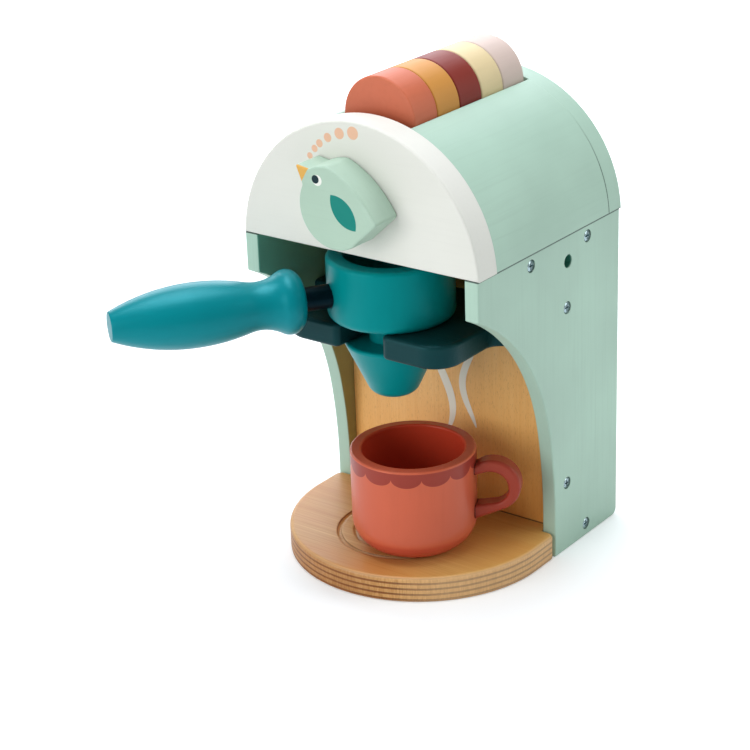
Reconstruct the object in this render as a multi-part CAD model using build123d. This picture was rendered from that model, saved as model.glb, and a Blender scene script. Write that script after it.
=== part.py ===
from build123d import *
import os
from math import asin, atan2, cos, degrees, pi, radians, sin, sqrt

# Wooden toy coffee maker, in millimetres.
# X runs to the right as seen from the front, Y runs from the front to the back, Z is up.
# The origin lies on the underside, on the middle plane, below the front panel's front face.

# ---------------------------------------------------------------- housing
width = 161.4                    # over both side panels
depth = 146.6                    # front panel's front face to the side panels' back edges
side_height = 198.2              # side panels, floor to the arch's seam
side_thickness = 9.0
arch_overhang = 0.5              # arch radius beyond half the width
arch_centre_drop = 4.2           # arch centre below the seam
cover_thickness = 8.0
front_panel_thickness = 17.7
rear_panel_thickness = 14.0
rear_overhang = 1.8              # rear panel's back face behind the side panels
board_thickness = 13.0           # deck
back_panel_front = 84.0
back_panel_thickness = 11.0
edge_round = 0.8
panel_face_round = 1.2
overrun = 1.0                    # how far a cutting shape runs past the face it cuts
same_place = 0.01                # corners nearer than this count as one place

# Front edge of a side panel: an upright foot, two tangent arcs and a short upright stub.
foot_front = 76.7
foot_height = 23.3
stub_height = 23.3
foot_corner_round = 4.0
lower_curve_sweep = 11.1
curve_ratio = 2.278              # lower arc's radius over the upper arc's

# Base board with a half-round nose and a tongue between the side panels.
base_thickness = 15.5
nose_straight = 21.7             # straight flank in front of the side panels' feet
nose_shoulder_round = 5.0
base_edge_round = 2.2
ring_centre_y = 34.0
ring_radii = (28.2, 38.0)
ring_groove_radius = 1.4

# ---------------------------------------------------------------- coffee pods and their trough
pod_count = 5
pod_radius = 24.2
pod_gap = 0.3
pod_edge_round = 1.0
pod_seat_gap = 0.3
pod_lift_gap = 0.6               # trough wall beside a pod
trough_front_gap = 6.8
trough_rear_gap = 1.4
trough_depth = 29.1              # crest of the arch to the trough's floor
trough_board = 6.0
trough_wall = 8.0
trough_lip_round = 1.5

# ---------------------------------------------------------------- knob
knob_radius = 23.2
knob_thickness = 19.5
knob_panel_gap = 0.5
knob_edge_round = 1.2
beak_root_round = 3.0
beak_tip_round = 1.0
crown_round = 7.0
tail_round = 2.0
beak_reach = 10.2
beak_angle = 138.6
beak_root_angle = 152.0
forehead_reach = 2.8
forehead_angle = 127.5
crown_reach = 0.7
crown_angle = 97.0
back_inset = 3.4
back_angle = 40.5
tail_reach = 6.0
tail_angle = -8.5
belly_end_angle = -60.0
axle_radius = 4.0
axle_socket_depth = 13.0
axle_clearance = 0.1
knob_washer_radius = 6.5
knob_washer_thickness = 1.5
knob_washer_gap = 0.3
knob_washer_headroom = 2.6       # washer rim to the trough above it

# ---------------------------------------------------------------- portafilter and its fork
bowl_y = 30.2
bowl_radius = 36.8
bowl_height = 37.0
bowl_headroom = 6.3              # bowl rim to the front panel's lower edge
bowl_foot_round = 4.2
bowl_rim_round = 2.4
bowl_recess_radius = 26.7
bowl_recess_depth = 20.0
recess_floor_round = 3.0
seat_gap = 0.3
notch_clearance = 1.7            # deck's notch round the bowl
deck_front = 36.0
neck_radius = 13.5
neck_socket_depth = 8.0
fork_thickness = 14.2
slot_clearance = 1.5             # fork's slot beside the neck
prong_width = 42.7
prong_overhang = 1.5             # prong tips in front of the front panel's face
prong_corner_round = 17.0
prong_tip_round = 4.0
fork_shoulder_front = 50.0
fork_shoulder_round = 9.0
fork_edge_round = 2.2
cone_top_radius = 28.6
cone_foot_radius = 12.8
cone_height = 34.0
cone_foot_round = 9.0
cone_rim_round = 1.6
handle_angle = 36.0              # from straight ahead towards the left
rod_height = 15.4                # above the bowl's underside
rod_radius = 7.0
rod_socket_depth = 8.5
rod_grip_depth = 26.0
glue_gap = 0.05
handle_start = 52.4              # measured out from the bowl's axis
handle_length = 109.6
handle_knuckle_radius = 18.6
handle_knuckle_round = 8.6
handle_waist_radius = 13.7
handle_waist_curve = 24.0
handle_belly_radius = 18.4
handle_belly_curve = 120.0
handle_tip_radius = 8.4
handle_tip_round = 0.8

# ---------------------------------------------------------------- cup
cup_x = 15.2
cup_y = 26.0
cup_radius = 36.8
cup_height = 60.9
cup_wall = 6.7
cup_floor = 8.0
cup_foot_round = 18.5
cup_inner_round = 12.0
cup_rim_round = 1.2
cup_handle_angle = 25.0          # from straight right towards the back
cup_handle_mid = 40.5            # bow's centre above the cup's underside
cup_handle_radius = 16.0
cup_handle_reach = 26.7          # beyond the cup's wall
cup_handle_thickness = 11.0
cup_handle_round = 1.9
cup_handle_root = (-24.5, 9.0)   # bow's lower and upper side inside the wall, from its centre
finger_hole_radius = 10.0
finger_hole_shift = 1.2          # from the bow's centre towards the cup
finger_hole_drop = 1.5
finger_hole_root = (-14.2, 4.2)
cup_dowel_radius = 1.8
cup_dowel_length = 8.0
cup_dowel_levels = (-17.5, 9.6)

# ---------------------------------------------------------------- fasteners
screw_length = 30.0
screw_head_radius = 3.75
screw_head_height = 2.4
screw_shank_radius = 1.9
screw_recess = 0.3
cross_width = 1.0
cross_length = 4.4
cross_depth = 1.3
deck_screw_front = 52.0
deck_screw_rear = 111.2
back_screw_drop = 30.4           # below the deck's underside
back_screw_low = 43.7
fork_screw_spread = 36.0
knob_screw_length = 14.0
knob_screw_head_radius = 4.2
knob_screw_rise = 0.6            # head's face above the washer's
locating_hole_radius = 4.0
locating_hole_depth = 6.0
locating_hole_y = 90.2
locating_hole_drop = 15.4        # below the arch's seam

# ---------------------------------------------------------------- what follows from them
half_width = width / 2
inner_half = half_width - side_thickness
arch_radius = half_width + arch_overhang
arch_centre = side_height - arch_centre_drop
arch_top = arch_centre + arch_radius
rear_panel_front = depth + rear_overhang - rear_panel_thickness
arch_inside = rear_panel_front - front_panel_thickness
deck_bottom = side_height - board_thickness
deck_mid = side_height - board_thickness / 2
stub_bottom = side_height - stub_height

trough_half = pod_radius + pod_lift_gap
trough_floor_top = arch_top - trough_depth
trough_floor_bottom = trough_floor_top - trough_board
pods_front = front_panel_thickness + trough_front_gap
pod_pitch = (rear_panel_front - trough_rear_gap - pods_front) / pod_count
pod_thickness = pod_pitch - pod_gap
pod_centre = trough_floor_top + pod_seat_gap + pod_radius

knob_z = trough_floor_bottom - knob_washer_headroom - knob_washer_radius

bowl_top = side_height - bowl_headroom
bowl_bottom = bowl_top - bowl_height
fork_top = bowl_bottom - seat_gap
fork_bottom = fork_top - fork_thickness
slot_half = neck_radius + slot_clearance
prong_half = slot_half + prong_width
cone_top = fork_bottom - seat_gap
rod_z = bowl_bottom + rod_height
cup_handle_z = base_thickness + cup_handle_mid
cup_handle_centre = cup_radius + cup_handle_reach - cup_handle_radius
cup_handle_start = cup_handle_centre - cup_handle_radius


def block(x0, x1, y0, y1, z0, z1):
    """A square-edged board between two opposite corners."""
    return Pos(x0, y0, z0) * Box(x1 - x0, y1 - y0, z1 - z0, align=(Align.MIN, Align.MIN, Align.MIN))


def back_from(face, y_start, length):
    """Extrude an outline drawn in X and Z towards the back, starting at y_start."""
    front = Plane(origin=(0, y_start, 0), x_dir=(1, 0, 0), z_dir=(0, -1, 0))
    return extrude(front * face, amount=-length)


def along_y(radius, y_start, length, x=0.0, z=0.0):
    """A round bar that runs towards the back from y_start."""
    return back_from(Pos(x, z) * Circle(radius), y_start, length)


def upright(radius, z_start, length, x=0.0, y=0.0):
    """A round bar that stands on z_start."""
    return Pos(x, y, z_start) * Cylinder(radius, length, align=(Align.CENTER, Align.CENTER, Align.MIN))


def upright_cone(low_radius, high_radius, z_start, length, y=0.0):
    """A cone's slice that stands on z_start."""
    return Pos(0, y, z_start) * Cone(
        low_radius, high_radius, length, align=(Align.CENTER, Align.CENTER, Align.MIN)
    )


def corners_at(sketch, x, y):
    """The corners of an outline that lie at plus or minus x, at height y."""
    return [
        v for v in sketch.vertices()
        if abs(abs(v.X) - x) < same_place and abs(v.Y - y) < same_place
    ]


def polar(radius, angle):
    """A point of the knob's outline, from the axle's centre."""
    return (radius * cos(radians(angle)), radius * sin(radians(angle)))


# ---------------------------------------------------------------- fasteners
def wood_screw(length, head_radius, gap=0.0, crossed=True):
    """A countersunk screw with its head's face at z = 0 and its shank downwards."""
    head_bottom = -screw_head_height
    shank_radius = screw_shank_radius + gap
    shank = upright(shank_radius, -length - gap, length + gap + head_bottom)
    head = upright_cone(shank_radius, head_radius + gap, head_bottom, screw_head_height)
    screw = shank + head
    if crossed:
        for turn in (0, 90):
            screw -= Rot(0, 0, turn) * Box(cross_length, cross_width, 2 * cross_depth)
    return screw


def screw_hole(length, head_radius, sink):
    """What a screw takes out of the wood, up through its sunk mouth."""
    hole = wood_screw(length, head_radius, glue_gap, False)
    return hole + upright(head_radius + glue_gap, 0, sink + overrun)


def side_screw_places(side):
    """The five screws in one side panel: two in the deck, two in the back panel, one in the base."""
    back_mid = back_panel_front + back_panel_thickness / 2
    spots = [
        (deck_screw_front, deck_mid),
        (deck_screw_rear, deck_mid),
        (back_mid, deck_bottom - back_screw_drop),
        (back_mid, back_screw_low),
        (deck_screw_rear, base_thickness / 2),
    ]
    face = side * (half_width - screw_recess)
    return [Plane(origin=(face, y, z), z_dir=(side, 0, 0)).location for y, z in spots]


def fork_screw_places():
    """Two screws through the back panel into the fork's rear edge."""
    face = back_panel_front + back_panel_thickness - screw_recess
    z = (fork_top + fork_bottom) / 2
    spread = (-fork_screw_spread, fork_screw_spread)
    return [Plane(origin=(x, face, z), z_dir=(0, 1, 0)).location for x in spread]


def drilled_for_screws(board, places):
    """A board with a sunk hole for each screw."""
    hole = screw_hole(screw_length, screw_head_radius, screw_recess)
    for place in places:
        board -= place * hole
    return board


def screw_set(places):
    """One screw in each place, as separate solids."""
    return Compound(children=[place * wood_screw(screw_length, screw_head_radius) for place in places])


# ---------------------------------------------------------------- housing
def base_board():
    """Nose, straight flanks and tongue, with two ring grooves where a cup stands."""
    nose_centre = foot_front - nose_straight
    nose = Pos(0, nose_centre) * Circle(half_width)
    flanks = Pos(0, nose_centre) * Rectangle(width, nose_straight, align=(Align.CENTER, Align.MIN))
    behind = Pos(0, foot_front) * Rectangle(2 * width, width, align=(Align.CENTER, Align.MIN))
    outline = (nose + flanks) - behind
    outline = fillet(corners_at(outline, half_width, foot_front), nose_shoulder_round)
    plate = extrude(outline, amount=base_thickness)
    plate = fillet(plate.faces().sort_by(Axis.Z)[-1].edges(), base_edge_round)
    plate = fillet(plate.faces().sort_by(Axis.Z)[0].edges(), edge_round)
    plate += block(-inner_half, inner_half, nose_centre, depth, 0, base_thickness)
    for radius in ring_radii:
        plate -= Pos(0, ring_centre_y, base_thickness) * Torus(radius, ring_groove_radius)
    places = side_screw_places(1) + side_screw_places(-1)
    return drilled_for_screws(plate, places)


def front_edge_arcs():
    """Upper arc's radius and the angle it ends at, so that both arcs reach from foot to stub."""
    sweep = radians(lower_curve_sweep)
    rise = stub_bottom - foot_height
    lower_back = curve_ratio - (curve_ratio - 1) * cos(sweep)
    lower_up = (curve_ratio - 1) * sin(sweep)
    slope = (rise * lower_back - foot_front * lower_up) / sqrt(foot_front**2 + rise**2)
    end = pi - asin(slope) - atan2(rise, foot_front)
    return rise / (lower_up + sin(end)), degrees(end)


def side_panel():
    """The right-hand side panel, with its swept front edge."""
    radius, end_angle = front_edge_arcs()
    foot = Line((foot_front, 0), (foot_front, foot_height))
    lower = JernArc(foot @ 1, (0, 1), radius * curve_ratio, lower_curve_sweep)
    upper = JernArc(lower @ 1, lower % 1, radius, end_angle - lower_curve_sweep)
    rest = Polyline(upper @ 1, (0, side_height), (depth, side_height), (depth, 0), (foot_front, 0))
    outline = make_face([foot, lower, upper, rest])
    outline = fillet(corners_at(outline, depth, 0), foot_corner_round)
    stub = [v for v in outline.vertices() if abs(v.X) < same_place and v.Y < side_height - overrun]
    outline = fillet(stub, edge_round)
    inner = Plane(origin=(inner_half, 0, 0), x_dir=(0, 1, 0), z_dir=(1, 0, 0))
    panel = extrude(inner * outline, amount=side_thickness)
    rims = panel.faces().sort_by(Axis.X)[-1].edges() + panel.faces().sort_by(Axis.X)[0].edges()
    panel = fillet([e for e in rims if e.center().Z < side_height - overrun], edge_round)
    hole = upright(locating_hole_radius, -locating_hole_depth, locating_hole_depth + overrun)
    hole_z = side_height - locating_hole_drop
    mouth = Plane(origin=(half_width, locating_hole_y, hole_z), z_dir=(1, 0, 0)).location
    return drilled_for_screws(panel - mouth * hole, side_screw_places(1))


def back_panel():
    """The panel behind the cup, from the base up to the deck."""
    end = back_panel_front + back_panel_thickness
    panel = block(-inner_half, inner_half, back_panel_front, end, base_thickness, deck_bottom)
    places = side_screw_places(1) + side_screw_places(-1) + fork_screw_places()
    return drilled_for_screws(panel, places)


def deck_board():
    """The board under the arch, notched at the front so that the bowl's rim passes."""
    deck = block(-inner_half, inner_half, deck_front, depth, deck_bottom, side_height)
    notch_radius = bowl_radius + notch_clearance
    deck -= upright(notch_radius, deck_bottom - overrun, board_thickness + 2 * overrun, y=bowl_y)
    places = side_screw_places(1) + side_screw_places(-1)
    return drilled_for_screws(deck, places)


def arch_outline():
    """Slice of a disc, standing on the side panels' seam."""
    above = Pos(0, side_height) * Rectangle(3 * width, width, align=(Align.CENTER, Align.MIN))
    return (Pos(0, arch_centre) * Circle(arch_radius)) & above


def front_arch_panel():
    """The thick front panel, with the knob's bearing hole."""
    panel = back_from(arch_outline(), 0, front_panel_thickness)
    panel = fillet(panel.faces().sort_by(Axis.Y)[0].edges(), panel_face_round)
    hole_length = front_panel_thickness + 2 * overrun
    bearing = along_y(axle_radius + axle_clearance, -overrun, hole_length, z=knob_z)
    return panel - bearing


def rear_arch_panel():
    """The thin panel that closes the arch at the back."""
    panel = back_from(arch_outline(), rear_panel_front, rear_panel_thickness)
    return fillet(panel.faces().sort_by(Axis.Y)[-1].edges(), panel_face_round)


def arch_cover():
    """The right-hand curved cover, from the side panel up to the trough."""
    ring = Pos(0, arch_centre) * (Circle(arch_radius) - Circle(arch_radius - cover_thickness))
    field = Pos(trough_half, side_height) * Rectangle(width, width, align=(Align.MIN, Align.MIN))
    cover = back_from(ring & field, front_panel_thickness, arch_inside)
    lip = cover.edges().filter_by(Axis.Y).sort_by(Axis.Z)[-1]
    return fillet(lip, trough_lip_round)


def trough_wall_board():
    """The trough's right-hand wall, shaped to the cover above it."""
    board = Rectangle(trough_wall, trough_depth, align=(Align.MIN, Align.MIN))
    board = Pos(trough_half, trough_floor_bottom) * board
    inside = Pos(0, arch_centre) * Circle(arch_radius - cover_thickness - glue_gap)
    return back_from(board & inside, front_panel_thickness, arch_inside)


def trough_floor():
    """The trough's floor, between its walls."""
    y0 = front_panel_thickness
    y1 = rear_panel_front
    return block(-trough_half, trough_half, y0, y1, trough_floor_bottom, trough_floor_top)


def coffee_pod(number):
    """One of the round coffee pods that stand on edge in the trough."""
    pod = along_y(pod_radius, pods_front + number * pod_pitch, pod_thickness, z=pod_centre)
    return fillet(pod.edges().filter_by(GeomType.CIRCLE), pod_edge_round)


# ---------------------------------------------------------------- knob
def knob():
    """The bird-shaped knob, on the socket for its axle."""
    belly_end = polar(knob_radius, belly_end_angle)
    beak_root = polar(knob_radius, beak_root_angle)
    beak_tip = polar(knob_radius + beak_reach, beak_angle)
    forehead = polar(knob_radius + forehead_reach, forehead_angle)
    crown = polar(knob_radius + crown_reach, crown_angle)
    tail_tip = polar(knob_radius + tail_reach, tail_angle)
    breast_angle = (belly_end_angle + beak_root_angle) / 2 + 180
    crown_mid_reach = (forehead_reach + crown_reach) / 2
    crown_mid = polar(knob_radius + crown_mid_reach, (forehead_angle + crown_angle) / 2)
    edges = [
        ThreePointArc(belly_end, polar(knob_radius, breast_angle), beak_root),
        Line(beak_root, beak_tip),
        Line(beak_tip, forehead),
        ThreePointArc(forehead, crown_mid, crown),
        ThreePointArc(crown, polar(knob_radius - back_inset, back_angle), tail_tip),
        Line(tail_tip, belly_end),
    ]
    outline = make_face(edges)
    rounds = (
        (beak_root, beak_root_round),
        (beak_tip, beak_tip_round),
        (crown, crown_round),
        (tail_tip, tail_round),
    )
    for corner, radius in rounds:
        outline = fillet(outline.vertices().sort_by_distance((corner[0], corner[1], 0))[0], radius)
    body = back_from(Pos(0, knob_z) * outline, -knob_panel_gap - knob_thickness, knob_thickness)
    body = fillet(body.faces().sort_by(Axis.Y)[0].edges(), knob_edge_round)
    socket_start = -knob_panel_gap - axle_socket_depth
    socket = along_y(axle_radius + glue_gap, socket_start, axle_socket_depth + overrun, z=knob_z)
    return body - socket


def knob_axle():
    """The dowel glued into the knob, which turns in the front panel."""
    start = -knob_panel_gap - axle_socket_depth + glue_gap
    end = front_panel_thickness + knob_washer_gap
    dowel = along_y(axle_radius, start, end - start, z=knob_z)
    hole = wood_screw(knob_screw_length, knob_screw_head_radius, glue_gap, False)
    return dowel - knob_screw_place() * hole


def knob_screw_place():
    """The screw in the axle's inner end, with its head on the washer."""
    face = front_panel_thickness + knob_washer_gap + knob_washer_thickness + knob_screw_rise
    return Plane(origin=(0, face, knob_z), z_dir=(0, 1, 0)).location


def knob_washer():
    """The washer that holds the knob's axle in the panel."""
    start = front_panel_thickness + knob_washer_gap
    ring = along_y(knob_washer_radius, start, knob_washer_thickness, z=knob_z)
    hole = screw_hole(knob_screw_length, knob_screw_head_radius, knob_screw_rise)
    return ring - knob_screw_place() * hole


def knob_screw():
    """The screw that holds the washer."""
    return knob_screw_place() * wood_screw(knob_screw_length, knob_screw_head_radius)


# ---------------------------------------------------------------- portafilter
def portafilter_fork():
    """The two-pronged shelf that carries the portafilter by its neck."""
    front = -prong_overhang
    standing = (Align.CENTER, Align.MIN)
    shoulder_depth = back_panel_front - fork_shoulder_front
    shoulders = Rectangle(2 * inner_half, shoulder_depth, align=standing)
    prongs = Rectangle(2 * prong_half, fork_shoulder_front - front, align=standing)
    outline = Pos(0, fork_shoulder_front) * shoulders + Pos(0, front) * prongs
    outline = fillet(corners_at(outline, prong_half, fork_shoulder_front), fork_shoulder_round)
    outline = fillet(corners_at(outline, prong_half, front), prong_corner_round)
    outline -= Pos(0, front) * Rectangle(2 * slot_half, bowl_y - front, align=standing)
    outline -= Pos(0, bowl_y) * Circle(slot_half)
    outline = fillet(corners_at(outline, slot_half, front), prong_tip_round)
    plate = extrude(Pos(0, 0, fork_bottom) * outline, amount=fork_thickness)
    rims = plate.faces().sort_by(Axis.Z)[-1].edges() + plate.faces().sort_by(Axis.Z)[0].edges()
    free = [
        e for e in rims
        if e.center().Y < fork_shoulder_front - same_place
        and abs(e.center().X) < prong_half + same_place
    ]
    plate = fillet(free, fork_edge_round)
    return drilled_for_screws(plate, fork_screw_places())


def filter_bowl():
    """The turned bowl, with its recess for a pod and sockets for neck and rod."""
    bowl = upright(bowl_radius, bowl_bottom, bowl_height, y=bowl_y)
    bowl = fillet(bowl.faces().sort_by(Axis.Z)[0].edges(), bowl_foot_round)
    bowl = fillet(bowl.faces().sort_by(Axis.Z)[-1].edges(), bowl_rim_round)
    recess_floor = bowl_top - bowl_recess_depth
    recess = upright(bowl_recess_radius, recess_floor, bowl_recess_depth + overrun, y=bowl_y)
    recess = fillet(recess.faces().sort_by(Axis.Z)[0].edges(), recess_floor_round)
    bowl -= recess
    mouth = bowl.faces().sort_by(Axis.Z)[-1].edges().sort_by(SortBy.LENGTH)[0]
    bowl = fillet(mouth, edge_round)
    socket_radius = neck_radius + axle_clearance
    socket_start = bowl_bottom - overrun
    bowl -= upright(socket_radius, socket_start, neck_socket_depth + seat_gap + overrun, y=bowl_y)
    rod_end = bowl_radius - rod_socket_depth - glue_gap
    return bowl - rod_bar(rod_radius + glue_gap, rod_end, bowl_radius + overrun)


def filter_neck():
    """The round neck that hangs in the fork's slot and joins bowl and spout."""
    start = cone_top - neck_socket_depth
    return upright(neck_radius, start, bowl_bottom + neck_socket_depth - start, y=bowl_y)


def spout_cone():
    """The tapered spout below the fork."""
    cone_foot = cone_top - cone_height
    cone = upright_cone(cone_foot_radius, cone_top_radius, cone_foot, cone_height, y=bowl_y)
    cone = fillet(cone.faces().sort_by(Axis.Z)[0].edges(), cone_foot_round)
    cone = fillet(cone.faces().sort_by(Axis.Z)[-1].edges(), cone_rim_round)
    socket_bottom = cone_top - neck_socket_depth - glue_gap
    socket_depth = cone_top - socket_bottom + overrun
    return cone - upright(neck_radius + glue_gap, socket_bottom, socket_depth, y=bowl_y)


def handle_place():
    """Local Z runs from the bowl's axis out along the handle."""
    turn = radians(handle_angle)
    return Plane(origin=(0, bowl_y, rod_z), z_dir=(-sin(turn), -cos(turn), 0)).location


def rod_bar(radius, start, end):
    """A round bar along the handle's axis, between two distances from the bowl's axis."""
    return handle_place() * upright(radius, start, end - start)


def handle_rod():
    """The rod between bowl and handle."""
    return rod_bar(rod_radius, bowl_radius - rod_socket_depth, handle_start + rod_grip_depth)


def along(start, end, distance):
    """The point that lies a distance from start on the way to end."""
    whole = sqrt((end[0] - start[0]) ** 2 + (end[1] - start[1]) ** 2)
    return tuple(a + (b - a) * distance / whole for a, b in zip(start, end))


def handle_profile():
    """Half the handle's outline, radius across and distance along, as four tangent arcs."""
    knuckle = (handle_knuckle_radius - handle_knuckle_round, handle_knuckle_round)
    waist_across = handle_waist_radius + handle_waist_curve
    knuckle_to_waist = handle_knuckle_round + handle_waist_curve
    waist_along = knuckle[1] + sqrt(knuckle_to_waist**2 - (waist_across - knuckle[0]) ** 2)
    waist = (waist_across, waist_along)
    belly_across = handle_belly_radius - handle_belly_curve
    waist_to_belly = handle_waist_curve + handle_belly_curve
    belly_along = waist_along + sqrt(waist_to_belly**2 - (waist_across - belly_across) ** 2)
    belly = (belly_across, belly_along)
    drop = handle_belly_radius - handle_tip_radius
    reach = handle_length - belly_along
    taper_curve = (drop**2 + reach**2) / (2 * drop)
    knuckle_end = along(knuckle, waist, handle_knuckle_round)
    waist_end = along(waist, belly, handle_waist_curve)
    belly_top = (handle_belly_radius, belly_along)
    tip = (handle_tip_radius, handle_length)
    return [
        Line((0, 0), (knuckle[0], 0)),
        ThreePointArc((knuckle[0], 0), (handle_knuckle_radius, handle_knuckle_round), knuckle_end),
        RadiusArc(knuckle_end, waist_end, handle_waist_curve),
        RadiusArc(waist_end, belly_top, -handle_belly_curve),
        RadiusArc(belly_top, tip, -taper_curve),
        Polyline(tip, (0, handle_length), (0, 0)),
    ]


def handle():
    """The turned handle: a knuckle at the bowl's end, a waist, a belly and a blunt tip."""
    turned = revolve(Plane.XZ * make_face(handle_profile()), Axis.Z)
    turned = fillet(turned.faces().sort_by(Axis.Z)[-1].edges(), handle_tip_round)
    bore_end = handle_start + rod_grip_depth + glue_gap
    bore = rod_bar(rod_radius + glue_gap, handle_start - overrun, bore_end)
    return handle_place() * Pos(0, 0, handle_start) * turned - bore


# ---------------------------------------------------------------- cup
def cup_body():
    """The turned cup that stands on the base."""
    cup = upright(cup_radius, base_thickness, cup_height, cup_x, cup_y)
    cup = fillet(cup.faces().sort_by(Axis.Z)[0].edges(), cup_foot_round)
    floor_top = base_thickness + cup_floor
    hollow = upright(cup_radius - cup_wall, floor_top, cup_height, cup_x, cup_y)
    hollow = fillet(hollow.faces().sort_by(Axis.Z)[0].edges(), cup_inner_round)
    cup -= hollow
    cup = fillet(cup.faces().sort_by(Axis.Z)[-1].edges(), cup_rim_round)
    return cup - cup_dowel_bars(glue_gap)


def cup_handle_place():
    """Local X points from the cup's axis along its handle, local Z is across the handle."""
    turn = radians(cup_handle_angle)
    origin = (cup_x, cup_y, cup_handle_z)
    out = (cos(turn), sin(turn), 0)
    across = (sin(turn), -cos(turn), 0)
    return Plane(origin=origin, x_dir=out, z_dir=across).location


def bow_outline(x, y, radius, root):
    """A circle drawn out by tangent sides to an upright line inside the cup's wall."""
    round_end = Pos(x, y) * Circle(radius)
    inside = Line((cup_handle_start, root[0]), (cup_handle_start, root[1]))
    return make_hull(round_end.edges() + [inside.edge()])


def cup_handle():
    """The flat bow with its finger hole, hollowed to the cup's wall."""
    hole_x = cup_handle_centre - finger_hole_shift
    outer = bow_outline(cup_handle_centre, 0, cup_handle_radius, cup_handle_root)
    hole = bow_outline(hole_x, -finger_hole_drop, finger_hole_radius, finger_hole_root)
    bow = extrude(outer - hole, amount=cup_handle_thickness / 2, both=True)
    rims = bow.faces().sort_by(Axis.Z)[-1].edges() + bow.faces().sort_by(Axis.Z)[0].edges()
    bow = fillet([e for e in rims if e.center().X > cup_handle_start + same_place], cup_handle_round)
    seat = upright(cup_radius + glue_gap, base_thickness, cup_height, cup_x, cup_y)
    return cup_handle_place() * bow - seat - cup_dowel_bars(glue_gap)


def cup_dowel_bars(gap):
    """Two short dowels that pin the cup's handle to its wall."""
    bars = []
    for level in cup_dowel_levels:
        length = cup_dowel_length + 2 * gap
        bar = Pos(cup_radius, level, 0) * Rot(0, 90, 0) * Cylinder(cup_dowel_radius + gap, length)
        bars.append(cup_handle_place() * bar)
    return Compound(children=bars)


# ---------------------------------------------------------------- assembly
right_side = side_panel()
right_cover = arch_cover()
right_wall = trough_wall_board()
middle = Plane.YZ

nodes = {
    "base_board": base_board(),
    "side_panel_right": right_side,
    "side_panel_left": mirror(right_side, about=middle),
    "back_panel": back_panel(),
    "deck_board": deck_board(),
    "front_arch_panel": front_arch_panel(),
    "rear_arch_panel": rear_arch_panel(),
    "arch_cover_right": right_cover,
    "arch_cover_left": mirror(right_cover, about=middle),
    "trough_floor": trough_floor(),
    "trough_wall_right": right_wall,
    "trough_wall_left": mirror(right_wall, about=middle),
    "portafilter_fork": portafilter_fork(),
    "side_screws_right": screw_set(side_screw_places(1)),
    "side_screws_left": screw_set(side_screw_places(-1)),
    "fork_screws": screw_set(fork_screw_places()),
    "knob": knob(),
    "knob_axle": knob_axle(),
    "knob_washer": knob_washer(),
    "knob_screw": knob_screw(),
    "filter_bowl": filter_bowl(),
    "filter_neck": filter_neck(),
    "spout_cone": spout_cone(),
    "handle_rod": handle_rod(),
    "portafilter_handle": handle(),
    "cup_body": cup_body(),
    "cup_handle": cup_handle(),
    "cup_handle_dowels": cup_dowel_bars(0.0),
}
for number in range(pod_count):
    nodes[f"coffee_pod_{number + 1}"] = coffee_pod(number)

os.makedirs("parts", exist_ok=True)
for name, shape in nodes.items():
    export_step(shape, f"parts/{name}.step")
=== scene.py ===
import math

import bpy
import numpy as np
from mathutils import Matrix, Vector


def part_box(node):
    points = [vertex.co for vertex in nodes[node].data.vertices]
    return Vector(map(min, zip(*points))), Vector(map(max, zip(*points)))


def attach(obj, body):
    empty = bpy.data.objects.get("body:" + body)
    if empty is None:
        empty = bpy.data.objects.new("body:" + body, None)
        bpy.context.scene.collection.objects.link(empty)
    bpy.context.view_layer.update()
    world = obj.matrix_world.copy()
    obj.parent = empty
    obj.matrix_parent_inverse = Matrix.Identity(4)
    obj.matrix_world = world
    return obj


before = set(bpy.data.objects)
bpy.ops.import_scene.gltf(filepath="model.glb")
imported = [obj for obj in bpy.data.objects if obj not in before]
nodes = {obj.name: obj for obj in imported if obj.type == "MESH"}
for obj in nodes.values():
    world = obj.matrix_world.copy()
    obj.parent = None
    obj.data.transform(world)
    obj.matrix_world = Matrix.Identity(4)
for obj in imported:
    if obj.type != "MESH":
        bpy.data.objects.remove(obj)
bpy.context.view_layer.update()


# ---------------------------------------------------------------- studio
# A low table-top view from the front right. The lens is long, so uprights stay upright; a slight
# shift keeps the toy in the middle of the square frame.
camera_place = Vector((0.67698, -0.86735, 0.59374))
camera_azimuth = math.radians(36.806)
camera_elevation = math.radians(22.779)
camera_roll = math.radians(-1.816)
focal_length = 101.392
sensor_width = 36.0
lens_shift = (-0.03495, -0.01209)
nearest_seen = 0.05
farthest_seen = 50.0

forward = Vector((
    -math.sin(camera_azimuth) * math.cos(camera_elevation),
    math.cos(camera_azimuth) * math.cos(camera_elevation),
    -math.sin(camera_elevation),
))
level_right = Vector((math.cos(camera_azimuth), math.sin(camera_azimuth), 0.0))
level_up = level_right.cross(forward)
right = level_right * math.cos(camera_roll) + level_up * math.sin(camera_roll)
up = level_up * math.cos(camera_roll) - level_right * math.sin(camera_roll)
turn = Matrix((right, up, -forward)).transposed()
lens = bpy.data.cameras.new("studio_camera")
lens.lens = focal_length
lens.sensor_width = sensor_width
lens.shift_x, lens.shift_y = lens_shift
lens.clip_start = nearest_seen
lens.clip_end = farthest_seen
camera = bpy.data.objects.new("studio_camera", lens)
camera.matrix_world = Matrix.Translation(camera_place) @ turn.to_4x4()
bpy.context.scene.collection.objects.link(camera)
bpy.context.scene.camera = camera
bpy.context.scene.view_settings.view_transform = "Standard"


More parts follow.
